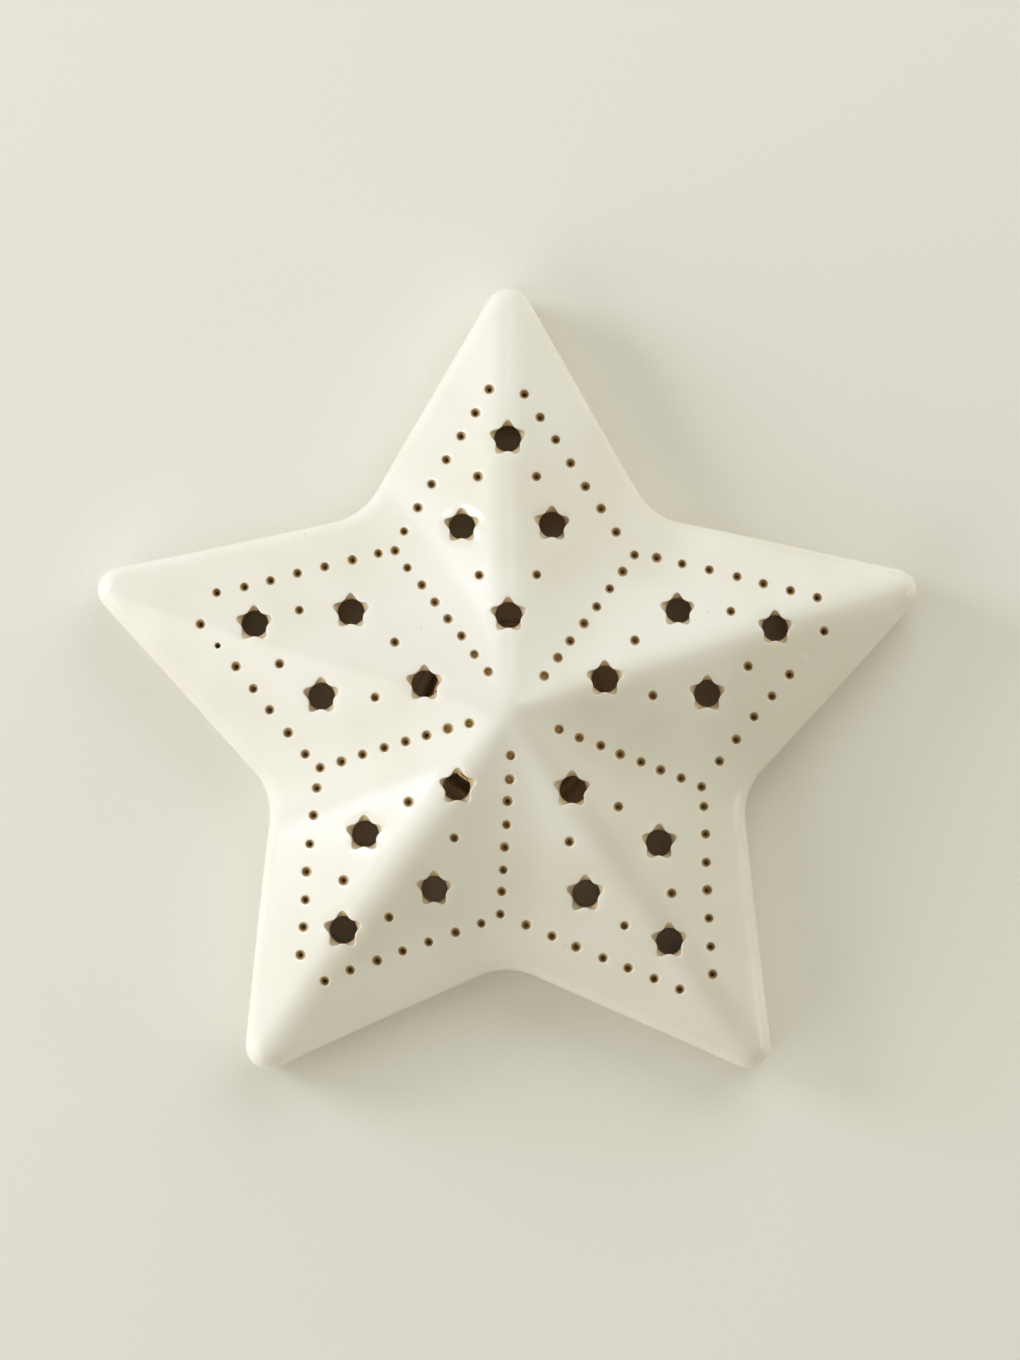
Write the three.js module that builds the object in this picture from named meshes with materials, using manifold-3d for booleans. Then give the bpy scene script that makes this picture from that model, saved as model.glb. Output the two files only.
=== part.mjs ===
// A star-shaped tealight holder in glazed ceramic. A hollow, pierced star cover stands on a star
// tray, and a tealight sits in a raised ring at the tray's centre, under the cover.
// Millimetres, +Z up, one arm along +Y. The origin is on the star's axis, on the tray's underside.
import * as THREE from "three";
import { mergeVertices } from "three/addons/utils/BufferGeometryUtils.js";
import Module from "manifold-3d";

const wasm = await Module();
wasm.setup();

const { sin, cos, abs, hypot, PI } = Math;
const radians = THREE.MathUtils.degToRad;

// The star's plan, which the cover and the tray share
const ARMS = 5;
const SECTOR = (2 * PI) / ARMS;
const FIRST_ARM = PI / 2;
const SHARP_TIP = 111; // from the centre to where an arm's two straight sides would meet
const TIP_HALF_ANGLE = radians(29.8);
const VALLEY_HALF_ANGLE = TIP_HALF_ANGLE + SECTOR / 2; // between a valley's ray and a side
const TIP_FILLET = 5.6;
const CORNER_FILLET = 16;
const TIP_STEPS = 5;
const CORNER_STEPS = 4;

// The gap that neighbouring pieces keep
const GAP = 0.3;
const EDGE = 0.8; // the rounding of a ceramic edge, drawn as a chamfer

// The tray
const TRAY_INSET = 1.2; // how far the tray's edge hides inside the cover's
const TRAY_THICKNESS = 4.4;
const LIP_HEIGHT = 3;
const LIP_WIDTH = 2.6;
const LIP_CLEARANCE = 0.9; // between the lip and the cover's inner wall
const LIP_TIP_FILLET = 4.6;
const SEAT_RADIUS = 20.6; // inside of the ring that holds the tealight
const SEAT_WIDTH = 2.8;
const SEAT_HEIGHT = 4;

// The cover
const WALL = 4;
const COVER_FOOT = TRAY_THICKNESS + GAP;
const EAVES = 15; // where the roof's flat facets would meet the outline
const ROOF_SLOPE = 0.65;
const PEAK = EAVES + ROOF_SLOPE * SHARP_TIP * sin(TIP_HALF_ANGLE);
const PEAK_ROUNDING = 1.2; // what the rounded peak loses in height
const PEAK_SHARE = 0.1; // the rounded peak's share of the plan
const SHOULDER = 3; // how far in from the outline the roof starts to turn down
const SHOULDER_DROP = 3.4; // how far below the eaves line the side wall becomes upright
const ROOF_THICKNESS = WALL * hypot(1, ROOF_SLOPE); // measured upright
const CAVITY_TIP_FILLET = 4;
const CAVITY_SHOULDER = 1.5;

// The piercings: along is out from the centre on an arm's axis, across is anticlockwise of it
const DOT_RADIUS = 1.15; // at the roof's face
const DOT_FOOT_SHARE = 0.45; // how much of it is left at the inner face
const DOT_SIDES = 8;
const CLOGGED_DOT_RADIUS = 0.75;
const STAR_TIP_RADIUS = 4.7;
const STAR_FLANK_RADIUS = 3.55;
const STAR_NOTCH_RADIUS = 3.1;
const STAR_BORE_RADIUS = 3.05;
const STAR_SIDES = 20;
const PUNCH_REACH = 2; // how far a punch runs past each face of the wall
const SPOKE_ROW = { name: "spoke", count: 8, from: [9.3, 5.9], to: [40.4, 27.2] };
const LEFT_ROW = { name: "left", count: 7, from: [45, 24.9], to: [79.3, 3.1] };
const RIGHT_ROW = { name: "right", count: 7, from: [43.4, -26.9], to: [77.9, -5.3] };
const DOT_ROWS = [SPOKE_ROW, LEFT_ROW, RIGHT_ROW];
const LOOSE_DOTS = [[33, 7.2], [32.8, -6.8], [57.6, 6.5], [57.3, -7.5]];
const STARS = [[22.9, 0.5], [45.6, 10.9], [45.4, -10.8], [66.8, -0.8]];
const SHUT_DOT = { arm: 4, row: "right", index: 5 }; // glaze has closed this one
const CLOGGED_DOT = { arm: 1, row: "left", index: 5 }; // and narrowed this one
const PATTERN_MIDDLE = 47; // along the arm, where the pattern turns about

// How the hand placed each arm's pattern: moved along and across the arm, and turned
const ARM_DRIFT = [
  { along: 0.2, across: 0.4, turn: radians(1.7) },
  { along: -1.2, across: -0.6, turn: radians(-0.5) },
  { along: -0.8, across: -0.3, turn: radians(-1.3) },
  { along: 1, across: 0.3, turn: radians(-1) },
  { along: 1.4, across: 0.3, turn: radians(0.9) },
];

// The tealight, measured from the underside of its cup
const CUP_FLOOR_RADIUS = 17.6;
const CUP_RADIUS = 18.9;
const CUP_RIM_RADIUS = 19.5;
const CUP_HEIGHT = 15.5;
const CUP_SKIN = 0.4;
const WAX_TOP = 13;
const WICK_RADIUS = 0.7;
const WICK_TIP = 19.5;
const SUSTAINER_RADIUS = 8;
const SUSTAINER_SKIN = 0.35;
const NECK_RADIUS = 1.45;
const NECK_TOP = 4.5;
const ROUND_SIDES = 48;
const SMALL_SIDES = 24;
const TEALIGHT_REST = TRAY_THICKNESS + GAP;

// ---- Plan ----

/** Points of a round arc whose centre lies at a distance from the axis, in a direction. */
function arcPoints(distance, direction, radius, from, to, clockwise, steps) {
  const x = distance * cos(direction);
  const y = distance * sin(direction);
  return new THREE.EllipseCurve(x, y, radius, radius, from, to, clockwise).getPoints(steps);
}

/** The star's outline moved inwards by inset, with rounded tips and corners, anticlockwise. */
function starOutline(inset, tipFillet = TIP_FILLET - inset, cornerFillet = CORNER_FILLET + inset) {
  const sharpTip = SHARP_TIP - inset / sin(TIP_HALF_ANGLE);
  const sharpCorner = (sharpTip * sin(TIP_HALF_ANGLE)) / sin(VALLEY_HALF_ANGLE);
  const tipCentre = sharpTip - tipFillet / sin(TIP_HALF_ANGLE);
  const cornerCentre = sharpCorner + cornerFillet / sin(VALLEY_HALF_ANGLE);
  const tipTurn = PI / 2 - TIP_HALF_ANGLE;
  const cornerTurn = PI / 2 - VALLEY_HALF_ANGLE;
  const points = [];
  for (let arm = 0; arm < ARMS; arm++) {
    const axis = FIRST_ARM + arm * SECTOR;
    const valley = axis + SECTOR / 2;
    const inward = valley + PI;
    points.push(
      ...arcPoints(tipCentre, axis, tipFillet, axis - tipTurn, axis + tipTurn, false, TIP_STEPS),
      ...arcPoints(
        cornerCentre, valley, cornerFillet, inward + cornerTurn, inward - cornerTurn, true, CORNER_STEPS,
      ),
    );
  }
  return points;
}

/** How far a plan point has gone from the centre to the sides: 0 at the centre, alike along a side. */
function spread(x, y) {
  const angle = Math.atan2(y, x) - FIRST_ARM;
  const offAxis = angle - SECTOR * Math.round(angle / SECTOR);
  const radius = hypot(x, y);
  return radius * (cos(offAxis) * sin(TIP_HALF_ANGLE) + abs(sin(offAxis)) * cos(TIP_HALF_ANGLE));
}

/** Height of the cover's roof above the table, over a plan point. */
function roofHeight(x, y) {
  return PEAK - ROOF_SLOPE * spread(x, y);
}

/** A mark of an arm's pattern, given along and across its axis, as the plan point it landed on. */
function onArm(arm, [along, across]) {
  const drift = ARM_DRIFT[arm];
  const middle = new THREE.Vector2(PATTERN_MIDDLE, 0);
  return new THREE.Vector2(along, across)
    .rotateAround(middle, drift.turn)
    .add(new THREE.Vector2(drift.along, drift.across))
    .rotateAround(new THREE.Vector2(), FIRST_ARM + arm * SECTOR);
}

// ---- Solids ----

/** An outline as a ring at a height, which is a number or a function of the plan point. */
function ring(outline, height) {
  const heightAt = typeof height === "function" ? height : () => height;
  return outline.map((p) => new THREE.Vector3(p.x, p.y, heightAt(p.x, p.y)));
}

/** A closed solid whose skin runs from a floor centre through the rings to a top centre. */
function loft(floorHeight, rings, topHeight) {
  const count = rings[0].length;
  const points = [new THREE.Vector3(0, 0, floorHeight), ...rings.flat()];
  const top = points.push(new THREE.Vector3(0, 0, topHeight)) - 1;
  const faces = [];
  for (let i = 0; i < count; i++) {
    const next = (i + 1) % count;
    faces.push(0, 1 + next, 1 + i);
    for (let level = 0; level + 1 < rings.length; level++) {
      const low = 1 + level * count;
      const high = low + count;
      faces.push(low + i, low + next, high + next, low + i, high + next, high + i);
    }
    const last = 1 + (rings.length - 1) * count;
    faces.push(last + i, last + next, top);
  }
  return new THREE.BufferGeometry().setFromPoints(points).setIndex(faces);
}

/** A three.js geometry as a manifold-3d solid. */
function solid(geometry) {
  const bare = geometry.clone();
  bare.deleteAttribute("normal");
  bare.deleteAttribute("uv");
  const merged = mergeVertices(bare, 1e-4);
  const vertProperties = new Float32Array(merged.attributes.position.array);
  const triVerts = new Uint32Array(merged.index.array);
  return new wasm.Manifold(new wasm.Mesh({ numProp: 3, vertProperties, triVerts }));
}

/** A manifold-3d solid as a three.js geometry. */
function geometryOf(manifold) {
  const mesh = manifold.getMesh();
  const geometry = new THREE.BufferGeometry();
  geometry.setAttribute("position", new THREE.BufferAttribute(mesh.vertProperties, mesh.numProp));
  geometry.setIndex(new THREE.BufferAttribute(mesh.triVerts, 1));
  geometry.computeVertexNormals();
  return geometry;
}

/** A solid of revolution about Z, from a profile of [radius, height] points. */
function turned(profile, sides) {
  const points = profile.map(([radius, height]) => new THREE.Vector2(radius, height));
  return new THREE.LatheGeometry(points, sides).rotateX(PI / 2);
}

// ---- Cover ----

/** The cover's outside, filled in. */
function coverOutside() {
  const outline = starOutline(0);
  const shoulder = starOutline(SHOULDER);
  const half = starOutline(SHOULDER / 3);
  const turn = EAVES - SHOULDER_DROP / 3;
  const peakRing = shoulder.map((p) => p.clone().multiplyScalar(PEAK_SHARE));
  return loft(
    COVER_FOOT,
    [
      ring(starOutline(EDGE), COVER_FOOT),
      ring(outline, COVER_FOOT + EDGE),
      ring(outline, EAVES - SHOULDER_DROP),
      ring(half, turn),
      ring(shoulder, roofHeight),
      ring(peakRing, roofHeight),
    ],
    PEAK - PEAK_ROUNDING,
  );
}

/** The hollow under the cover's roof, which opens downwards. */
function coverCavity() {
  const underRoof = (x, y) => roofHeight(x, y) - ROOF_THICKNESS;
  const wallFoot = starOutline(WALL - EDGE, CAVITY_TIP_FILLET);
  const wall = starOutline(WALL, CAVITY_TIP_FILLET);
  const shoulder = starOutline(WALL + CAVITY_SHOULDER, CAVITY_TIP_FILLET - CAVITY_SHOULDER);
  const peakRing = shoulder.map((p) => p.clone().multiplyScalar(PEAK_SHARE));
  return loft(
    COVER_FOOT - EDGE,
    [
      ring(wallFoot, COVER_FOOT - EDGE),
      ring(wallFoot, COVER_FOOT),
      ring(wall, COVER_FOOT + EDGE),
      ring(wall, EAVES - SHOULDER_DROP),
      ring(shoulder, underRoof),
      ring(peakRing, underRoof),
    ],
    PEAK - PEAK_ROUNDING - ROOF_THICKNESS,
  );
}

/** Upright tapered punch for a round piercing over a plan point. */
function dotPunch(place, radius) {
  const height = ROOF_THICKNESS + 2 * PUNCH_REACH;
  const middle = roofHeight(place.x, place.y) - ROOF_THICKNESS / 2;
  const loss = (radius * (1 - DOT_FOOT_SHARE)) / ROOF_THICKNESS;
  const top = radius + loss * PUNCH_REACH;
  const punch = wasm.Manifold.cylinder(height, top - loss * height, top, DOT_SIDES, true);
  return punch.translate(place.x, place.y, middle);
}

/** The star piercing's radius at the roof's face, in steps round from one tip to the next. */
function starRadius(step) {
  const radii = [STAR_TIP_RADIUS, STAR_FLANK_RADIUS, STAR_NOTCH_RADIUS, STAR_FLANK_RADIUS];
  return radii[step % radii.length];
}

/** Punch for a star piercing: a star at the roof's face that narrows to a round bore under it. */
function starPunch(place) {
  const levels = [PUNCH_REACH, 0, -ROOF_THICKNESS, -ROOF_THICKNESS - PUNCH_REACH];
  const geometry = new THREE.CylinderGeometry(1, 1, 1, STAR_SIDES, levels.length - 1);
  geometry.rotateX(PI / 2);
  const position = geometry.getAttribute("position");
  for (let i = 0; i < position.count; i++) {
    const [x, y, z] = [position.getX(i), position.getY(i), position.getZ(i)];
    const level = Math.round((0.5 - z) * (levels.length - 1));
    const angle = Math.atan2(y, x);
    const step = Math.round(((angle - FIRST_ARM + 2 * PI) / (2 * PI)) * STAR_SIDES);
    const rim = level < 2 ? starRadius(step) : STAR_BORE_RADIUS;
    const radius = hypot(x, y) > 0.5 ? rim : 0;
    const [px, py] = [place.x + radius * cos(angle), place.y + radius * sin(angle)];
    position.setXYZ(i, px, py, roofHeight(px, py) + levels[level]);
  }
  return solid(geometry);
}

/** True if a piercing of an arm's row is the one described. */
function isDot(wanted, arm, row, index) {
  return wanted.arm === arm && wanted.row === row.name && wanted.index === index;
}

/** The punches of one arm's rows of round piercings. */
function rowPunches(arm, row) {
  const from = onArm(arm, row.from);
  const to = onArm(arm, row.to);
  const punches = [];
  for (let index = 0; index < row.count; index++) {
    if (isDot(SHUT_DOT, arm, row, index)) continue;
    const radius = isDot(CLOGGED_DOT, arm, row, index) ? CLOGGED_DOT_RADIUS : DOT_RADIUS;
    punches.push(dotPunch(from.clone().lerp(to, index / (row.count - 1)), radius));
  }
  return punches;
}

/** Every punch of the cover. */
function coverPunches() {
  const punches = [];
  for (let arm = 0; arm < ARMS; arm++) {
    for (const row of DOT_ROWS) punches.push(...rowPunches(arm, row));
    for (const dot of LOOSE_DOTS) punches.push(dotPunch(onArm(arm, dot), DOT_RADIUS));
    for (const star of STARS) punches.push(starPunch(onArm(arm, star)));
  }
  return punches;
}

/** The pierced star cover. */
function starCover() {
  const shell = solid(coverOutside()).subtract(solid(coverCavity()));
  const pierced = coverPunches().reduce((left, punch) => left.subtract(punch), shell);
  return geometryOf(pierced);
}

// ---- Tray ----

/** The star tray: a flat plate with a lip that keeps the cover in place and a ring for the tealight. */
function starTray() {
  const lipInset = WALL + LIP_CLEARANCE;
  const lip = (inset) => starOutline(lipInset + inset, LIP_TIP_FILLET - inset);
  const lipTop = TRAY_THICKNESS + LIP_HEIGHT;
  const round = EDGE / 2;
  const plate = loft(
    0,
    [
      ring(starOutline(TRAY_INSET + EDGE), 0),
      ring(starOutline(TRAY_INSET), EDGE),
      ring(starOutline(TRAY_INSET), TRAY_THICKNESS - EDGE),
      ring(starOutline(TRAY_INSET + EDGE), TRAY_THICKNESS),
      ring(lip(0), TRAY_THICKNESS),
      ring(lip(0), lipTop - round),
      ring(lip(round), lipTop),
      ring(lip(LIP_WIDTH - round), lipTop),
      ring(lip(LIP_WIDTH), lipTop - round),
      ring(lip(LIP_WIDTH), TRAY_THICKNESS),
    ],
    TRAY_THICKNESS,
  );
  const outside = SEAT_RADIUS + SEAT_WIDTH;
  const seatTop = TRAY_THICKNESS + SEAT_HEIGHT;
  const seatFoot = TRAY_THICKNESS / 2;
  const seat = turned(
    [
      [SEAT_RADIUS, seatFoot],
      [outside, seatFoot],
      [outside, seatTop - EDGE],
      [outside - EDGE, seatTop],
      [SEAT_RADIUS + EDGE, seatTop],
      [SEAT_RADIUS, seatTop - EDGE],
      [SEAT_RADIUS, seatFoot],
    ],
    ROUND_SIDES,
  );
  return geometryOf(solid(plate).add(solid(seat)));
}

// ---- Tealight ----

/** The pressed aluminium cup, open at the top, with a rolled rim. */
function tealightCup() {
  const rimFoot = CUP_HEIGHT - 2 * CUP_SKIN;
  return turned(
    [
      [0, 0],
      [CUP_FLOOR_RADIUS, 0],
      [CUP_FLOOR_RADIUS + CUP_SKIN, CUP_SKIN],
      [CUP_RADIUS, rimFoot],
      [CUP_RIM_RADIUS, rimFoot + CUP_SKIN / 2],
      [CUP_RIM_RADIUS, CUP_HEIGHT],
      [CUP_RADIUS, CUP_HEIGHT],
      [CUP_RADIUS - CUP_SKIN, rimFoot],
      [CUP_FLOOR_RADIUS, CUP_SKIN * 1.5],
      [CUP_FLOOR_RADIUS - CUP_SKIN, CUP_SKIN],
      [0, CUP_SKIN],
    ],
    ROUND_SIDES,
  );
}

/** The wax, bored for the wick and hollowed underneath for the sustainer. */
function tealightWax() {
  const foot = CUP_SKIN + GAP;
  const plateTop = foot + SUSTAINER_SKIN + GAP;
  const footRadius = CUP_FLOOR_RADIUS - CUP_SKIN - 2 * GAP;
  const topRadius = CUP_RADIUS - CUP_SKIN - 2 * GAP;
  return turned(
    [
      [SUSTAINER_RADIUS + GAP, foot],
      [footRadius, foot],
      [footRadius + GAP, foot + GAP],
      [topRadius, WAX_TOP],
      [WICK_RADIUS + GAP, WAX_TOP],
      [WICK_RADIUS + GAP, NECK_TOP + GAP],
      [NECK_RADIUS + GAP, NECK_TOP + GAP],
      [NECK_RADIUS + GAP, plateTop],
      [SUSTAINER_RADIUS + GAP, plateTop],
      [SUSTAINER_RADIUS + GAP, foot],
    ],
    ROUND_SIDES,
  );
}

/** The tin plate that keeps the wick upright: a disc with a neck. */
function wickSustainer() {
  const foot = CUP_SKIN + GAP;
  const bore = WICK_RADIUS + GAP;
  return turned(
    [
      [bore, foot],
      [SUSTAINER_RADIUS, foot],
      [SUSTAINER_RADIUS, foot + SUSTAINER_SKIN],
      [NECK_RADIUS, foot + SUSTAINER_SKIN],
      [NECK_RADIUS, NECK_TOP],
      [bore, NECK_TOP],
      [bore, foot],
    ],
    SMALL_SIDES,
  );
}

/** The cotton wick, from the cup's floor to its tip. */
function tealightWick() {
  const foot = CUP_SKIN + GAP;
  const length = WICK_TIP - foot;
  return new THREE.CylinderGeometry(WICK_RADIUS * 0.8, WICK_RADIUS, length, SMALL_SIDES / 2)
    .rotateX(PI / 2)
    .translate(0, 0, foot + length / 2);
}

// ---- Assembly ----

/** A named mesh in its own material. */
function piece(name, geometry, color, roughness, metalness) {
  const mesh = new THREE.Mesh(
    geometry,
    new THREE.MeshStandardMaterial({ color, roughness, metalness }),
  );
  mesh.name = name;
  return mesh;
}

const holder = new THREE.Group();
holder.add(piece("star_tray", starTray(), "#efece0", 0.25, 0));
holder.add(piece("star_cover", starCover(), "#f2efe4", 0.2, 0));

const tealight = new THREE.Group();
tealight.position.z = TEALIGHT_REST;
tealight.add(piece("tealight_cup", tealightCup(), "#c9cbcd", 0.35, 1));
tealight.add(piece("tealight_wax", tealightWax(), "#f4f0e4", 0.45, 0));
tealight.add(piece("wick_sustainer", wickSustainer(), "#b5b5b0", 0.4, 1));
tealight.add(piece("tealight_wick", tealightWick(), "#e9e2d0", 0.9, 0));
holder.add(tealight);

export default holder;
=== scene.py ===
"""A pierced ceramic star that covers a tealight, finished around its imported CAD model.

The holder is a hollow star cover in cream-glazed earthenware, a star tray of the same ware under it,
and a burning tealight in the tray's ring. Sizes are in millimetres, and meshes are made in metres.
"""

from __future__ import annotations

import logging
import math
from dataclasses import dataclass, field
from enum import Enum

import bmesh
import bpy
import numpy as np
from mathutils import Matrix, Vector
from mathutils.geometry import delaunay_2d_cdt


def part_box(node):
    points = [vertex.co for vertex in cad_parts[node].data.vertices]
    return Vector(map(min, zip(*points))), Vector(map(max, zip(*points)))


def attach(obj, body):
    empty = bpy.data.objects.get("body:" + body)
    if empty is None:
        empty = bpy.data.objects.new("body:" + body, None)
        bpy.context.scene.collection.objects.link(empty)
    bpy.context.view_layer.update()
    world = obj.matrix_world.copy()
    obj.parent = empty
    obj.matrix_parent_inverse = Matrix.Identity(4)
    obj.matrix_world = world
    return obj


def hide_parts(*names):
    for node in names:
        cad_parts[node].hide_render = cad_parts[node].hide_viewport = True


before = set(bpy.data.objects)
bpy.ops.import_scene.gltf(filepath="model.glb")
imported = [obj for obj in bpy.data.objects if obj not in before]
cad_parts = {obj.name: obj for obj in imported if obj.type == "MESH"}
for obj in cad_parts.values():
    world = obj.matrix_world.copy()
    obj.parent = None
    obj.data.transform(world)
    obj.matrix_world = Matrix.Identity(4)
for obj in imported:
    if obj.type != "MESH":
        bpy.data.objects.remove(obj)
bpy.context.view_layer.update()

MM = 0.001
# Glaze thickness on each vertex; deep in the piercings its low values also paint the walls tan and darker as
# painted shade.
GLAZE_AND_SHADE_LAYER = "glaze"
log = logging.getLogger("tealight_holder")

Profile = list[tuple[float, float]]  # radius, or inset, and height of each point
Socket = bpy.types.NodeSocket


# ---- Shared helpers ----


def linear(colour: str) -> tuple[float, float, float, float]:
    """Turns an sRGB hex colour into the linear colour that shaders take.

    Args:
        colour: Six hex digits after a hash.

    Returns:
        Red, green, blue and an alpha of 1.
    """
    channels = [int(colour[i : i + 2], 16) / 255 for i in (1, 3, 5)]
    dark = [c / 12.92 if c <= 0.04045 else ((c + 0.055) / 1.055) ** 2.4 for c in channels]
    return (dark[0], dark[1], dark[2], 1.0)


def smooth_max(a: np.ndarray, b: np.ndarray, width: np.ndarray | float) -> np.ndarray:
    """Returns the larger of two fields, blended where they differ by less than width."""
    share = np.maximum(width - np.abs(a - b), 0) / np.maximum(width, 1e-6)
    return np.maximum(a, b) + share * share * width / 4


def smooth_min(a: np.ndarray, b: np.ndarray, width: np.ndarray | float) -> np.ndarray:
    """Returns the smaller of two fields, blended where they differ by less than width."""
    return -smooth_max(-a, -b, width)


def stand_in(piece: bpy.types.Object, node: str, body: str) -> bpy.types.Object:
    """Puts a piece in place of its CAD node.

    Args:
        piece: The piece.
        node: The node that it replaces.
        body: The body that it rides on.

    Returns:
        The piece.
    """
    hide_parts(node)
    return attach(piece, body)


def box_mm(node: str) -> tuple[Vector, Vector]:
    """Returns a CAD node's lowest and highest corners in millimetres."""
    low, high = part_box(node)
    return low / MM, high / MM


# ---- Meshes in the making ----


class Skin:
    """The vertices and faces of one piece while it is put together, in millimetres."""

    def __init__(self) -> None:
        """Starts with nothing."""
        self._points: list[np.ndarray] = []
        self._glaze: list[np.ndarray] = []
        self._faces: list[tuple[int, ...]] = []
        self._count = 0

    def add(self, points: np.ndarray, glaze: float = 1.0) -> np.ndarray:
        """Adds vertices.

        Args:
            points: One row of x, y and z for each vertex.
            glaze: How thickly they are glazed, from bare clay at 0 to a full coat at 1. In the
            piercings lower values also stand for painted shade.

        Returns:
            The vertices' numbers.
        """
        numbers = np.arange(self._count, self._count + len(points))
        self._points.append(np.asarray(points, float))
        self._glaze.append(np.full(len(points), glaze))
        self._count += len(points)
        return numbers

    def strip(self, first: np.ndarray, second: np.ndarray) -> None:
        """Joins two closed loops of the same length with a band of quads."""
        after_first, after_second = np.roll(first, -1), np.roll(second, -1)
        self._faces += list(zip(first, after_first, after_second, second))

    def fan(self, loop: np.ndarray, centre: np.ndarray) -> None:
        """Closes a loop with triangles to one vertex."""
        tip = np.repeat(centre, len(loop))
        self._faces += list(zip(loop, np.roll(loop, -1), tip))

    def triangles(self, corners: np.ndarray) -> None:
        """Adds triangles, one row of three vertex numbers each."""
        self._faces += [tuple(row) for row in corners]

    def rings(self, rings: list[np.ndarray], glaze: float = 1.0) -> tuple[np.ndarray, np.ndarray]:
        """Adds loops of vertices and joins each to the next.

        Args:
            rings: The loops, all of one length.
            glaze: How thickly they are glazed.

        Returns:
            The first and the last loop's vertex numbers.
        """
        numbers = [self.add(ring, glaze) for ring in rings]
        for first, second in zip(numbers, numbers[1:]):
            self.strip(first, second)
        return numbers[0], numbers[-1]

    def settle(self, plan: StarPlan) -> None:
        """Pulls every vertex a little out of true, as the fired ware is."""
        self._points = [plan.settled(points) for points in self._points]

    def to_object(self, name: str, finish: bpy.types.Material) -> bpy.types.Object:
        """Makes the smooth-shaded Blender object.

        Args:
            name: The object's name.
            finish: Its material.

        Returns:
            The object, linked to the scene.
        """
        points = np.concatenate(self._points) * MM
        faces = [tuple(int(i) for i in face) for face in self._faces]
        mesh = bpy.data.meshes.new(name)
        mesh.from_pydata(points.tolist(), [], faces)
        layer = mesh.attributes.new(GLAZE_AND_SHADE_LAYER, "FLOAT", "POINT")
        layer.data.foreach_set("value", np.concatenate(self._glaze).astype(np.float32))
        work = bmesh.new()
        work.from_mesh(mesh)
        bmesh.ops.recalc_face_normals(work, faces=work.faces[:])
        work.to_mesh(mesh)
        work.free()
        mesh.polygons.foreach_set("use_smooth", [True] * len(mesh.polygons))
        mesh.materials.append(finish)
        made = bpy.data.objects.new(name, mesh)
        bpy.context.scene.collection.objects.link(made)
        return made


def lifted(plan: np.ndarray, height: np.ndarray | float) -> np.ndarray:
    """Returns plan points at a height, or at a height each."""
    return np.column_stack([plan, np.broadcast_to(height, len(plan))])


def circle(radius: float, angles: np.ndarray) -> np.ndarray:
    """Returns plan points on a circle round the origin, at the given angles."""
    return radius * np.column_stack([np.cos(angles), np.sin(angles)])


def turns(count: int) -> np.ndarray:
    """Returns count angles evenly round a full turn."""
    return np.arange(count) * 2 * math.pi / count


def turned(profile: Profile, sides: int, glaze: float = 1.0) -> Skin:
    """Spins a profile about Z. It starts and ends on the axis.

    Args:
        profile: Radius and height of each of its points.
        sides: How many steps the turn has.
        glaze: How thickly the skin is glazed.

    Returns:
        The closed skin.
    """
    skin = Skin()
    first_height, last_height = profile[0][1], profile[-1][1]
    rings = [lifted(circle(radius, turns(sides)), height) for radius, height in profile[1:-1]]
    first, last = skin.rings(rings, glaze)
    skin.fan(first, skin.add(np.array([[0, 0, first_height]]), glaze))
    skin.fan(last, skin.add(np.array([[0, 0, last_height]]), glaze))
    return skin


def rounded(corner: tuple[float, float], radius: float, start: float, turn: float) -> Profile:
    """Returns a profile's round corner.

    Args:
        corner: The centre of the rounding.
        radius: Its radius.
        start: The angle of its first point, in degrees.
        turn: How far it turns, in degrees.

    Returns:
        Its points, one every 18 degrees or less.
    """
    steps = max(2, math.ceil(abs(turn) / 18))
    angles = [math.radians(start + turn * i / steps) for i in range(steps + 1)]
    return [(corner[0] + radius * math.cos(a), corner[1] + radius * math.sin(a)) for a in angles]


# ---- Finishes ----


class Shader:
    """A material's node tree while it is being wired."""

    def __init__(self, name: str) -> None:
        """Makes an empty material.

        Args:
            name: Its name.
        """
        self.material = bpy.data.materials.new(name)
        self.material.use_nodes = True
        self._tree = self.material.node_tree
        self._tree.nodes.clear()

    def node(self, kind: str, links: dict | None = None, **settings: object) -> bpy.types.Node:
        """Adds one node.

        Args:
            kind: The node's type, without the ShaderNode at its front.
            links: Input socket to the output socket that feeds it, or to a constant.
            **settings: Values for the node's own properties.

        Returns:
            The node.
        """
        made = self._tree.nodes.new("ShaderNode" + kind)
        for key, value in settings.items():
            setattr(made, key, value)
        for socket, source in (links or {}).items():
            if isinstance(source, Socket):
                self._tree.links.new(source, made.inputs[socket])
            else:
                made.inputs[socket].default_value = source
        return made


def grain(shader: Shader, size: float, detail: float = 2.0, stretch: tuple = (1, 1, 1)) -> Socket:
    """Adds noise whose features have a real size.

    Args:
        shader: The material that takes it.
        size: How far apart its features are, in millimetres.
        detail: How many finer layers it has.
        stretch: How much longer the features are along X, Y and Z.

    Returns:
        The noise, from 0 to 1.
    """
    place = shader.node("TexCoord").outputs["Object"]
    scale = tuple(1 / (size * MM * s) for s in stretch)
    mapped = shader.node("Mapping", {"Vector": place, "Scale": scale})
    links = {"Vector": mapped.outputs["Vector"], "Scale": 1.0, "Detail": detail}
    return shader.node("TexNoise", links).outputs["Fac"]


def ramp(shader: Shader, value: Socket, low: tuple, high: tuple) -> Socket:
    """Maps one range of values to another, without going past its ends.

    Args:
        shader: The material that takes it.
        value: What is mapped.
        low: The value that comes in and the value that goes out at one end.
        high: The same at the other end.

    Returns:
        The mapped value.
    """
    links = {"Value": value, 1: low[0], 2: high[0], 3: low[1], 4: high[1]}
    return shader.node("MapRange", links, interpolation_type="SMOOTHSTEP").outputs["Result"]


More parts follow.
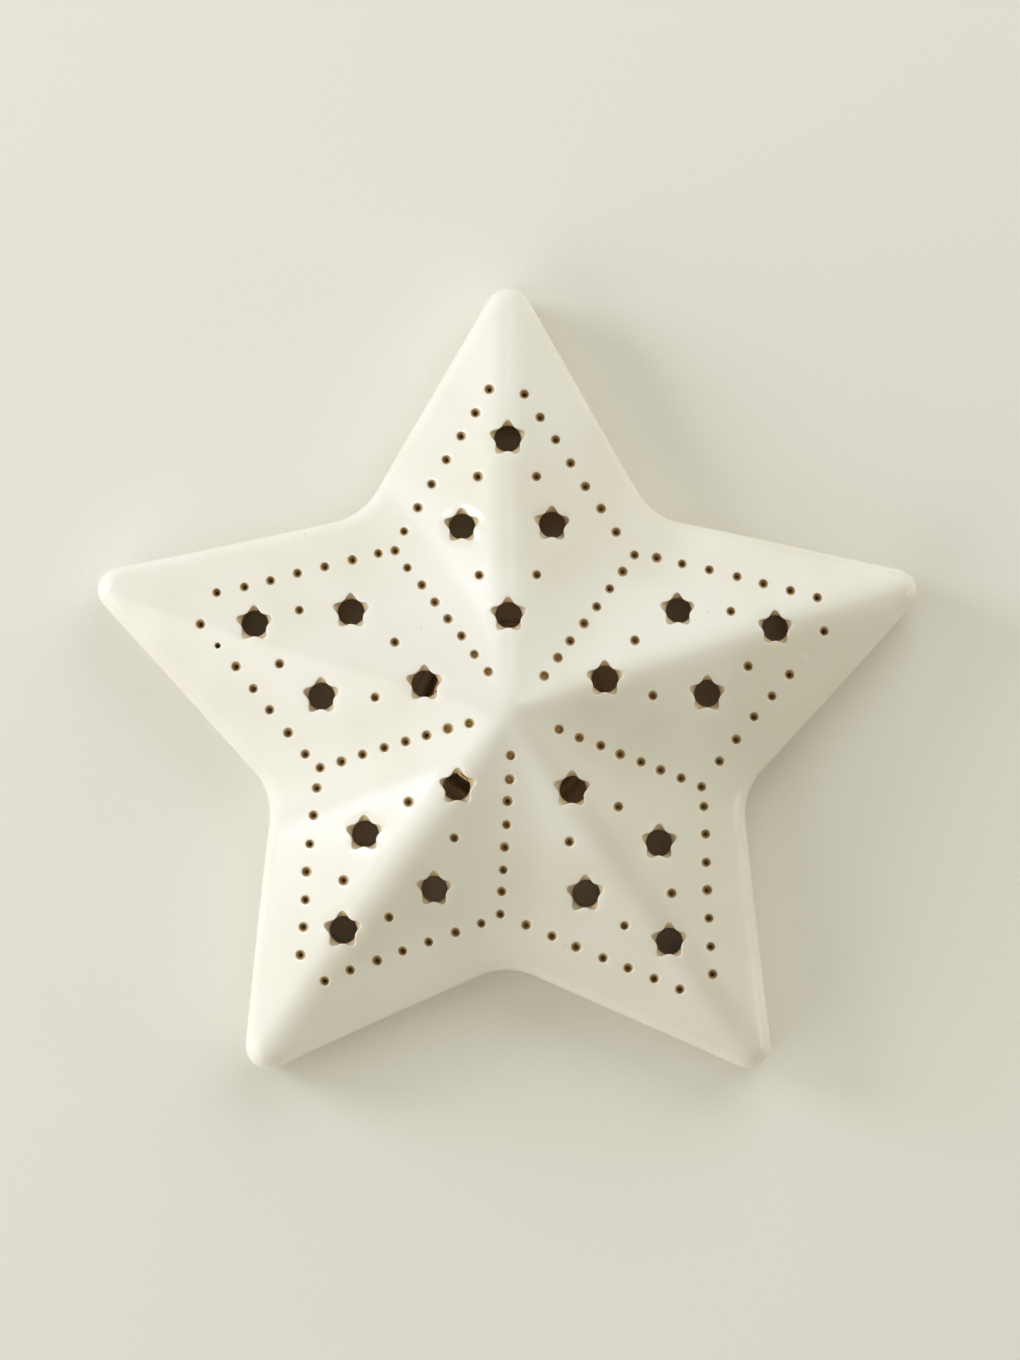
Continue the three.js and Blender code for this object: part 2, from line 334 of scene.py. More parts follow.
def blend(shader: Shader, share: object, low: object, high: object) -> Socket:
    """Mixes two colours.

    Args:
        shader: The material that takes it.
        share: How much of the second there is, as a socket or a number.
        low: The first, as a socket or a linear colour.
        high: The second.

    Returns:
        The mixed colour.
    """
    return shader.node("Mix", {0: share, 6: low, 7: high}, data_type="RGBA").outputs[2]


def relief(shader: Shader, height: Socket, depth: float, under: object = None) -> Socket:
    """Turns a height pattern into bump.

    Args:
        shader: The material that takes it.
        height: The pattern, from 0 to 1.
        depth: Its real depth in millimetres.
        under: A coarser relief that it lies on.

    Returns:
        The bent normal.
    """
    links = {"Height": height, "Distance": depth * MM, "Strength": 1.0}
    if under is not None:
        links["Normal"] = under
    return shader.node("Bump", links).outputs["Normal"]


def finished(shader: Shader, **sockets: object) -> bpy.types.Material:
    """Closes a material with its surface shader.

    Args:
        shader: The material.
        **sockets: The Principled shader's inputs, with underscores for spaces.

    Returns:
        The finished material.
    """
    links = {name.replace("_", " "): value for name, value in sockets.items()}
    surface = shader.node("BsdfPrincipled", links)
    shader.node("OutputMaterial", {"Surface": surface.outputs["BSDF"]})
    return shader.material


@dataclass(frozen=True)
class GlazedEarthenware:
    """Slip-cast buff earthenware dipped in an opaque cream-white glaze and fired.

    The glaze gives a broad soft gloss over a faintly wavy skin. It runs thin over the edges and in
    the piercings, where the tan clay shows through it, and it is wiped off wherever the ware stands.
    In the piercings the tan also grows and darkens with depth as painted shade, standing in for the
    light lost between their walls.
    """

    name: str = "cream_glazed_earthenware"
    glaze: str = "#f6f3e7"
    pooled: str = "#efebdb"
    # thin and clay also colour the piercing walls, more of them the deeper the wall: partly bare clay,
    # partly painted shade.
    thin: str = "#d0b688"
    clay: str = "#bba27a"
    speck: str = "#8c6a48"
    drift: float = 34.0  # how far the glaze drifts from one tone to the other
    orange_peel: float = 3.4
    wave: float = 15.0
    peel_depth: float = 0.012
    wave_depth: float = 0.14
    grit_depth: float = 0.05
    clay_grit: float = 0.7  # real grog is 0.2 mm, drawn coarser so that it shows
    speck_spacing: float = 7.0

    def material(self) -> bpy.types.Material:
        """Wires the finish.

        Returns:
            The material.
        """
        shader = Shader(self.name)
        coat = shader.node("Attribute", attribute_name=GLAZE_AND_SHADE_LAYER).outputs["Fac"]
        tone = ramp(shader, grain(shader, self.drift), (0.35, 0.0), (0.65, 1.0))
        glaze = blend(shader, tone, linear(self.glaze), linear(self.pooled))
        place = shader.node("TexCoord").outputs["Object"]
        links = {"Vector": place, "Scale": 1 / (self.speck_spacing * MM), "Randomness": 1.0}
        cells = shader.node("TexVoronoi", links)
        picked = shader.node("SeparateColor", {"Color": cells.outputs["Color"]}).outputs["Red"]
        chosen = ramp(shader, picked, (0.86, 0.0), (0.88, 1.0))
        spot = ramp(shader, cells.outputs["Distance"], (0.018, 0.45), (0.04, 0.0))
        specks = shader.node("Math", {0: chosen, 1: spot}, operation="MULTIPLY").outputs[0]
        speckled = blend(shader, specks, glaze, linear(self.speck))
        # Low coat values deep in the piercings turn the walls tan and darker: partly thin glaze over clay,
        # partly painted shade.
        bare = ramp(shader, coat, (0.0, 0.0), (0.35, 1.0))
        under = blend(shader, bare, linear(self.clay), linear(self.thin))
        covered = ramp(shader, coat, (0.3, 0.0), (0.95, 1.0))
        colour = blend(shader, covered, under, speckled)
        grit = grain(shader, self.clay_grit, 4.0)
        waves = relief(shader, grain(shader, self.wave, 0.0), self.wave_depth)
        skin = relief(shader, grain(shader, self.orange_peel, 1.0), self.peel_depth, waves)
        rough = relief(shader, grit, self.grit_depth, waves)
        normal = shader.node(
            "Mix", {0: bare, 4: rough, 5: skin}, data_type="VECTOR", factor_mode="UNIFORM"
        ).outputs[1]
        polish = ramp(shader, grain(shader, self.drift / 2), (0.3, 0.17), (0.7, 0.25))
        roughness = shader.node("Mix", {0: bare, 2: 0.85, 3: polish}, data_type="FLOAT").outputs[0]
        return finished(
            shader,
            Base_Color=colour,
            Roughness=roughness,
            IOR=1.5,
            Normal=normal,
            Subsurface_Weight=0.12,
            Subsurface_Radius=(1.0, 0.8, 0.55),
            Subsurface_Scale=1.2 * MM,
        )


@dataclass(frozen=True)
class DrawnAluminium:
    """Thin aluminium sheet deep-drawn into a cup.

    Drawing leaves fine upright scratches and a satin sheen.
    """

    name: str = "drawn_aluminium"
    colour: str = "#d3d4d3"
    shade: str = "#8f9090"
    scratch: float = 0.5  # real draw lines are 0.1 mm, drawn coarser so that they show

    def material(self) -> bpy.types.Material:
        """Wires the finish.

        Returns:
            The material.
        """
        shader = Shader(self.name)
        lines = grain(shader, self.scratch, 2.0, (1, 1, 30))
        share = ramp(shader, lines, (0.3, 0.0), (0.7, 0.25))
        tint = blend(shader, share, linear(self.colour), linear(self.shade))
        roughness = ramp(shader, lines, (0.3, 0.28), (0.7, 0.42))
        return finished(
            shader, Base_Color=tint, Metallic=1.0, Roughness=roughness, Normal=relief(shader, lines, 0.02)
        )


@dataclass(frozen=True)
class ParaffinWax:
    """Cast white paraffin, melted to a clear pool round the burning wick.

    The solid rim is milky and soft, light goes a little way into it, and the pool is wet and darker.
    """

    name: str = "paraffin_wax"
    solid: str = "#f3efe2"
    molten: str = "#d9c9a2"
    pool_radius: float = 12.0

    def material(self) -> bpy.types.Material:
        """Wires the finish.

        Returns:
            The material.
        """
        shader = Shader(self.name)
        place = shader.node("TexCoord").outputs["Object"]
        flat = shader.node("VectorMath", {0: place, 1: (1, 1, 0)}, operation="MULTIPLY").outputs[0]
        reach = shader.node("VectorMath", {0: flat}, operation="LENGTH").outputs["Value"]
        edge = shader.node("Math", {0: grain(shader, 6.0), 1: 4 * MM, 2: reach}, operation="MULTIPLY_ADD")
        low, high = self.pool_radius * MM, (self.pool_radius + 4) * MM
        cooled = ramp(shader, edge.outputs[0], (low, 0.0), (high, 1.0))
        colour = blend(shader, cooled, linear(self.molten), linear(self.solid))
        roughness = ramp(shader, cooled, (0.0, 0.06), (1.0, 0.42))
        return finished(
            shader,
            Base_Color=colour,
            Roughness=roughness,
            IOR=1.44,
            Normal=relief(shader, grain(shader, 2.5), 0.05),
            Subsurface_Weight=0.6,
            Subsurface_Radius=(1.0, 0.75, 0.45),
            Subsurface_Scale=2.5 * MM,
        )


@dataclass(frozen=True)
class BraidedCotton:
    """Waxed cotton braid, pale at its foot and burnt black at its tip."""

    name: str = "braided_cotton"
    yarn: str = "#e6dcc2"
    char: str = "#16110d"
    plait: float = 0.8
    burnt_from: float = 18.6  # height where the char starts, over the table
    burnt_to: float = 20.4

    def material(self) -> bpy.types.Material:
        """Wires the finish.

        Returns:
            The material.
        """
        shader = Shader(self.name)
        place = shader.node("TexCoord").outputs["Object"]
        height = shader.node("SeparateXYZ", {"Vector": place}).outputs["Z"]
        burnt = ramp(shader, height, (self.burnt_from * MM, 0.0), (self.burnt_to * MM, 1.0))
        links = {"Vector": place, "Scale": 1 / (self.plait * MM), "Distortion": 3.0}
        plaits = shader.node("TexWave", links, bands_direction="DIAGONAL").outputs["Fac"]
        colour = blend(shader, burnt, linear(self.yarn), linear(self.char))
        return finished(shader, Base_Color=colour, Roughness=0.85, Normal=relief(shader, plaits, 0.12))


@dataclass(frozen=True)
class Tinplate:
    """Thin rolled steel with a tin coat: a cool, slightly mottled shine."""

    name: str = "tinplate"
    colour: str = "#b9bab7"
    shade: str = "#8c8d8a"
    spangle: float = 1.6

    def material(self) -> bpy.types.Material:
        """Wires the finish.

        Returns:
            The material.
        """
        shader = Shader(self.name)
        mottle = grain(shader, self.spangle, 3.0)
        share = ramp(shader, mottle, (0.3, 0.0), (0.7, 1.0))
        tint = blend(shader, share, linear(self.colour), linear(self.shade))
        roughness = ramp(shader, mottle, (0.3, 0.25), (0.7, 0.45))
        return finished(shader, Base_Color=tint, Metallic=1.0, Roughness=roughness)


@dataclass(frozen=True)
class PaintedBoard:
    """Matt board in a pale warm grey, rolled with paint: almost even, with a faint nap."""

    name: str = "painted_board"
    colour: str = "#f6f5eb"
    shade: str = "#cfccbb"
    nap: float = 1.2

    def material(self) -> bpy.types.Material:
        """Wires the finish.

        Returns:
            The material.
        """
        shader = Shader(self.name)
        nap = grain(shader, self.nap, 3.0)
        share = ramp(shader, nap, (0.2, 0.0), (0.8, 0.04))
        tint = blend(shader, share, linear(self.colour), linear(self.shade))
        return finished(shader, Base_Color=tint, Roughness=0.75, Normal=relief(shader, nap, 0.02))


# ---- The star's plan and roof ----


@dataclass(frozen=True)
class StarPlan:
    """The five-armed outline that the cover and the tray share."""

    arms: int = 5
    sharp_tip: float = 111.0
    tip_half_angle: float = math.radians(29.8)
    tip_fillet: float = 5.6
    corner_fillet: float = 16.0
    tip_steps: int = 14
    corner_steps: int = 14
    side_steps: int = 30
    warp: float = 0.15  # how far casting and firing pull the ware out of true
    warp_lengths: tuple[float, float] = (97.0, 83.0)

    @property
    def sector(self) -> float:
        """The angle from one arm to the next."""
        return 2 * math.pi / self.arms

    def _arc(self, distance: float, direction: float, radius: float, turn: float, steps: int) -> np.ndarray:
        """Returns an arc that turns evenly to both sides of a ray.

        Args:
            distance: How far its centre is from the axis.
            direction: The ray's angle.
            radius: Its radius.
            turn: How far it turns to each side, below 0 for one that bends inwards.
            steps: How many steps it has.
        """
        middle = direction if turn > 0 else direction + math.pi
        angles = middle + np.linspace(-turn, turn, steps + 1)
        return circle(distance, np.array([direction])) + circle(radius, angles)

    def outline(self, inset: float, tip_fillet: float | None = None) -> np.ndarray:
        """Returns the outline moved inwards, anticlockwise from the top arm's right side.

        Args:
            inset: How far in it lies.
            tip_fillet: The tips' radius, where it isn't simply the outer one less the inset.

        Returns:
            Its points in plan, the same number at every inset.
        """
        tip_round = self.tip_fillet - inset if tip_fillet is None else tip_fillet
        corner_round = self.corner_fillet + inset
        slant, spread = math.sin(self.tip_half_angle), math.sin(self.tip_half_angle + self.sector / 2)
        sharp_tip = self.sharp_tip - inset / slant
        tip_centre = sharp_tip - tip_round / slant
        corner_centre = sharp_tip * slant / spread + corner_round / spread
        tip_turn = math.pi / 2 - self.tip_half_angle
        corner_turn = tip_turn - self.sector / 2
        arcs = []
        for arm in range(self.arms):
            axis = math.pi / 2 + arm * self.sector
            valley = axis + self.sector / 2
            arcs.append(self._arc(tip_centre, axis, tip_round, tip_turn, self.tip_steps))
            arcs.append(self._arc(corner_centre, valley, corner_round, -corner_turn, self.corner_steps))
        shares = np.linspace(0, 1, self.side_steps + 1)[1:-1, None]
        sides = [a[-1] + shares * (b[0] - a[-1]) for a, b in zip(arcs, arcs[1:] + arcs[:1])]
        return np.concatenate([part for pair in zip(arcs, sides) for part in pair])

    def fold(self, points: np.ndarray) -> tuple[np.ndarray, np.ndarray]:
        """Folds plan points onto one arm.

        Args:
            points: The plan points.

        Returns:
            Each one's distance from the axis, and its angle from the nearest arm.
        """
        angle = np.arctan2(points[:, 1], points[:, 0]) - math.pi / 2
        off = np.abs(angle - self.sector * np.round(angle / self.sector))
        return np.hypot(points[:, 0], points[:, 1]), off

    def place(self, arm: int, along: float, across: float) -> np.ndarray:
        """Returns the plan point of a place on an arm.

        Args:
            arm: The arm's number, anticlockwise from the one along +Y.
            along: How far out along its axis.
            across: How far anticlockwise of its axis.
        """
        axis = math.pi / 2 + arm * self.sector
        out = np.array([math.cos(axis), math.sin(axis)])
        return along * out + across * np.array([-out[1], out[0]])

    def settled(self, points: np.ndarray) -> np.ndarray:
        """Pulls points a little out of true in plan, as fired ware is.

        Args:
            points: One row of x, y and z each.

        Returns:
            The moved points.
        """
        moved = points.copy()
        long, short = self.warp_lengths
        moved[:, 0] += self.warp * np.sin(2 * math.pi * (points[:, 1] / long + 0.21))
        moved[:, 1] += self.warp * np.sin(2 * math.pi * (points[:, 0] / short + 0.63))
        return moved


@dataclass(frozen=True)
class Roof:
    """The height of ten sloping facets over the star's plan, with soft ridges, valleys and peak."""

    plan: StarPlan
    eaves: float = 15.0  # where the flat facets would meet the outline
    slope: float = 0.65
    ridge: float = 7.6
    valley: float = 8.0
    peak: float = 1.85
    gather: float = 9.0  # how near the peak the ridges and valleys tighten
    below: float = 0.0

    def height(self, points: np.ndarray) -> np.ndarray:
        """Works out the roof over plan points.

        Args:
            points: The plan points.

        Returns:
            The height over each.
        """
        radius, off = self.plan.fold(points)
        half = self.plan.tip_half_angle
        near, far = radius * np.sin(half + off), radius * np.sin(half - off)
        facing = radius * np.sin(half + self.plan.sector - off)
        tightness = radius / np.hypot(radius, self.gather)
        spread = smooth_max(near, far, self.ridge * tightness)
        spread = smooth_min(spread, facing, self.valley * tightness)
        spread = np.hypot(spread, self.peak)
        top = self.eaves + self.slope * self.plan.sharp_tip * math.sin(half)
        return top - self.slope * spread - self.below


# ---- Piercings ----


class Piercing(Enum):
    """The kinds of hole in the cover."""

    STAR = "star"
    DOT = "dot"
    CLOGGED = "dot that glaze has narrowed"
    SHUT = "dot that glaze has closed"


@dataclass(frozen=True)
class Ring:
    """One level of a piercing's wall.

    Attributes:
        radius: Its radius where it is round.
        grow: How far it lies outside the star's outline where it is star-shaped.
        sink: How far it lies below the outer face.
        share: How far down the wall's thickness it lies, added to the sink.
        star: How much of its shape is the star's.
        glaze: How thickly it is glazed.
    """

    radius: float
    sink: float = 0.0
    # glaze: How thickly it is glazed. Deep in a piercing lower values also paint its wall tan and darker as
    # painted shade.
    share: float = 0.0
    star: float = 0.0
    grow: float = 0.0
    glaze: float = 1.0


@dataclass(frozen=True)
class StarShape:
    """The outline of a star-shaped piercing, with one point to +Y on every arm."""

    tip: float = 4.45
    notch: float = 3.15
    pinch: float = 1.45  # how much narrower the points are than the bays between them
    points: int = 5

    def radius(self, angles: np.ndarray) -> np.ndarray:
        """Returns how far the outline is from the centre at each angle."""
        wave = (1 + np.cos(self.points * (angles - math.pi / 2))) / 2
        return self.notch + (self.tip - self.notch) * wave**self.pinch


@dataclass(frozen=True)
class Hole:
    """One piercing of the cover.

    Attributes:
        kind: What it is.
        centre: Where it is in plan.
        slip: How far a star's round bore lies off the star's own centre.
        scale: How large it came out.
        shape: A star's outline.
    """

    kind: Piercing
    centre: np.ndarray
    slip: np.ndarray
    scale: float = 1.0
    shape: StarShape = StarShape()

    @property
    def sides(self) -> int:
        """How many steps go round it."""
        return 60 if self.kind is Piercing.STAR else 24

    @property
    def through(self) -> bool:
        """True if it goes right through the wall."""
        return self.kind is not Piercing.SHUT

    def levels(self) -> list[Ring]:
        """Returns the levels of its wall, from the outer face to the inner one."""
        if self.kind is Piercing.STAR:
            return star_levels()
        if self.kind is Piercing.DOT:
            return dot_levels(bore=1.1, foot=0.4)
        if self.kind is Piercing.CLOGGED:
            return dot_levels(bore=0.7, foot=0.35)
        return [Ring(1.9), Ring(1.4, 0.03), Ring(0.9, 0.14), Ring(0.4, 0.22)]

    def loop(self, ring: Ring) -> np.ndarray:
        """Draws one level of the wall in plan.

        Args:
            ring: The level.

        Returns:
            Its points.
        """
        angles = turns(self.sides)
        outline = self.shape.radius(angles) + ring.grow
        radius = ring.star * outline + (1 - ring.star) * ring.radius
        return self.centre + (1 - ring.star) * self.slip + self.scale * radius[:, None] * circle(1.0, angles)

    def reach(self, ring: Ring) -> float:
        """Returns how far a round level reaches from the centre."""
        return self.scale * ring.radius


def dot_levels(bore: float, foot: float, lip: float = 0.36) -> list[Ring]:
    """Makes a dot: a rounded glazed lip, and a cone down to the needle's own narrow bore.

    Args:
        bore: Its radius under the lip.
        foot: Its radius at the cone's narrow end.
        lip: The lip's rounding.

    Returns:
        Its levels, from the outer face to the inner one.
    """
    # The glaze falls down the lip and the cone: partly thin glaze over clay, partly painted shade that
    # darkens the dot the deeper it goes.
    arc = [
        Ring(bore + lip * (1 - math.sin(t)), lip * (1 - math.cos(t)), glaze=1 - 0.35 * t)
        for t in (0.0, math.pi / 6, math.pi / 3, math.pi / 2)
    ]
    cone = [
        Ring(bore + (foot - bore) * s, lip, 0.5 * s, glaze=0.46 - 0.1 * s)
        for s in (0.3, 0.6, 0.85, 1.0)
    ]
    exit_lip = [Ring(foot + 0.1, 0.0, 0.96, glaze=0.1), Ring(foot + 0.5, 0.0, 1.0, glaze=0.0)]
    return [Ring(bore + 2 * lip), *arc, *cone, *exit_lip]


def star_levels(bore: float = 3.3, lip: float = 0.42, depth: float = 1.9) -> list[Ring]:
    """Makes a star piercing: a star-shaped mouth that runs down to a round bore.

    Args:
        bore: The bore's radius.
        lip: The mouth's rounding.
        depth: How far down the star becomes round.

    Returns:
        Its levels, from the outer face to the inner one.
    """
    # The glaze falls down the mouth, the run and the bore: partly thin glaze over clay, partly painted shade
    # that darkens the piercing the deeper it goes.
    arc = [
        Ring(0, lip * (1 - math.cos(t)), star=1.0, grow=lip * (1 - math.sin(t)), glaze=1 - 0.2 * t)
        for t in (0.0, math.pi / 6, math.pi / 3, math.pi / 2)
    ]
    run = [
        Ring(bore, lip + (depth - lip) * s, star=1 - s, glaze=0.62 - 0.26 * s)
        for s in (0.3, 0.6, 0.85)
    ]
    edge = [Ring(bore, depth, glaze=0.45), Ring(bore - 0.05, depth + 0.25, glaze=0.35)]
    wall = [Ring(bore, 0.0, 0.75, glaze=0.25), Ring(bore + 0.1, 0.0, 0.95, glaze=0.1)]
    return [Ring(6.0), *arc, *run, *edge, *wall, Ring(bore + 0.5, 0.0, 1.0, glaze=0.0)]


@dataclass(frozen=True)
class Row:
    """A row of dots on an arm, from one place to another, out along its axis and across it."""

    name: str
    count: int
    start: tuple[float, float]
    end: tuple[float, float]


@dataclass(frozen=True)
class Drift:
    """How the hand placed one arm's pattern: moved along and across the arm, and turned in degrees."""

    along: float
    across: float
    turn: float


@dataclass(frozen=True)
class PiercingPattern:
    """Where the cover is pierced. Every arm has the same pattern, each with its own drift."""

    plan: StarPlan
    rows: tuple[Row, ...] = (
        Row("spoke", 8, (9.3, 5.9), (40.4, 27.2)),
        Row("left", 7, (45.0, 24.9), (79.3, 3.1)),
        Row("right", 7, (43.4, -26.9), (77.9, -5.3)),
    )
    loose_dots: tuple[tuple[float, float], ...] = ((33.0, 7.2), (32.8, -6.8), (57.6, 6.5), (57.3, -7.5))
    stars: tuple[tuple[float, float], ...] = ((22.9, 0.5), (45.6, 10.9), (45.4, -10.8), (66.8, -0.8))
    shut: tuple[int, str, int] = (4, "right", 5)
    clogged: tuple[int, str, int] = (1, "left", 5)
    drifts: tuple[Drift, ...] = (
        Drift(0.2, 0.4, 1.7),
        Drift(-1.2, -0.6, -0.5),
        Drift(-0.8, -0.3, -1.3),
        Drift(1.0, 0.3, -1.0),
        Drift(1.4, 0.3, 0.9),
    )
    middle: float = 47.0  # along the arm, where the pattern turns about
    stray: float = 0.12  # how far the hand misses its mark
    slip: tuple[float, float] = (0.1, 0.02)  # where a star's bore mostly lies off its centre
    seed: int = 7

    def _kind(self, arm: int, row: Row, index: int) -> Piercing:
        """Returns what became of a dot when the glaze was fired."""
        if (arm, row.name, index) == self.shut:
            return Piercing.SHUT
        return Piercing.CLOGGED if (arm, row.name, index) == self.clogged else Piercing.DOT

    def _landed(self, arm: int, mark: np.ndarray) -> np.ndarray:
        """Finds where a mark landed on the ware.

        Args:
            arm: The arm's number.
            mark: Its place along and across the arm.

        Returns:
            The plan point.
        """
        drift = self.drifts[arm]
        turn = math.radians(drift.turn)
        along, across = mark[0] - self.middle, mark[1]
        out = along * math.cos(turn) - across * math.sin(turn) + self.middle + drift.along
        aside = along * math.sin(turn) + across * math.cos(turn) + drift.across
        return self.plan.place(arm, out, aside)

    def holes(self) -> list[Hole]:
        """Returns every piercing, each a little off its mark as a hand leaves it."""
        marks: list[tuple[Piercing, np.ndarray]] = []
        for arm in range(self.plan.arms):
            for row in self.rows:
                for index in range(row.count):
                    spot = np.array(row.start) + (np.array(row.end) - row.start) * index / (row.count - 1)
                    marks.append((self._kind(arm, row, index), self._landed(arm, spot)))
            marks += [(Piercing.DOT, self._landed(arm, spot)) for spot in self.loose_dots]
            marks += [(Piercing.STAR, self._landed(arm, spot)) for spot in self.stars]
        chance = np.random.default_rng(self.seed)
        holes = []
        for kind, mark in marks:
            offset = chance.normal(0, self.stray, 2)
            starry = kind is Piercing.STAR
            scale = 1 + chance.normal(0, 0.02 if starry else 0.04)
            slip = chance.normal(0, self.stray, 2) + self.slip if starry else np.zeros(2)
            holes.append(Hole(kind, mark + offset, slip, scale))
        return holes


def sheet_triangles(
    border: np.ndarray, holes: list[tuple[np.ndarray, np.ndarray, float]], spacing: float
) -> tuple[np.ndarray, np.ndarray]:
    """Triangulates a flat region round its holes.

    Args:
        border: The region's outline.
        holes: Each hole's centre, outline and radius.
        spacing: How far apart the vertices between them lie.

    Returns:
        The vertices inside the region that were added, and the triangles. Triangles number the
        border's vertices first, then the holes' in order, then the added ones.
    """
    low, high = border.min(0), border.max(0)
    columns = np.arange(low[0], high[0], spacing)
    lines = np.arange(low[1], high[1], spacing * math.sqrt(3) / 2)
    lattice = np.array([(x + spacing / 2 * (i % 2), y) for i, y in enumerate(lines) for x in columns])
    clear = np.ones(len(lattice), bool)
    for point in border:
        clear &= np.hypot(*(lattice - point).T) > spacing * 0.6
    for centre, _, radius in holes:
        clear &= np.hypot(*(lattice - centre).T) > radius + spacing * 0.45
    lattice = lattice[clear]
    loops = [border] + [outline for _, outline, _ in holes]
    edges, start = [], 0
    for loop in loops:
        edges += [(start + i, start + (i + 1) % len(loop)) for i in range(len(loop))]
        start += len(loop)
    everything = np.concatenate([*loops, lattice])
    inside_constraints = 1
    found = delaunay_2d_cdt([Vector(p) for p in everything], edges, [], inside_constraints, 1e-6)
    faces, sources = found[2], [ids[0] for ids in found[3]]
    corners = np.array([[sources[i] for i in face] for face in faces])
    loop_of = np.concatenate([np.full(len(loop), i) for i, loop in enumerate([*loops, lattice])])
    owner = loop_of[corners]
    inside_hole = (owner[:, 0] == owner[:, 1]) & (owner[:, 1] == owner[:, 2])
    inside_hole &= (owner[:, 0] > 0) & (owner[:, 0] < len(loops))
    corners = corners[~inside_hole]
    used = np.unique(corners[corners >= start])
    renumber = np.arange(len(everything))
    renumber[used] = start + np.arange(len(used))
    return everything[used], renumber[corners]


# ---- The cover ----


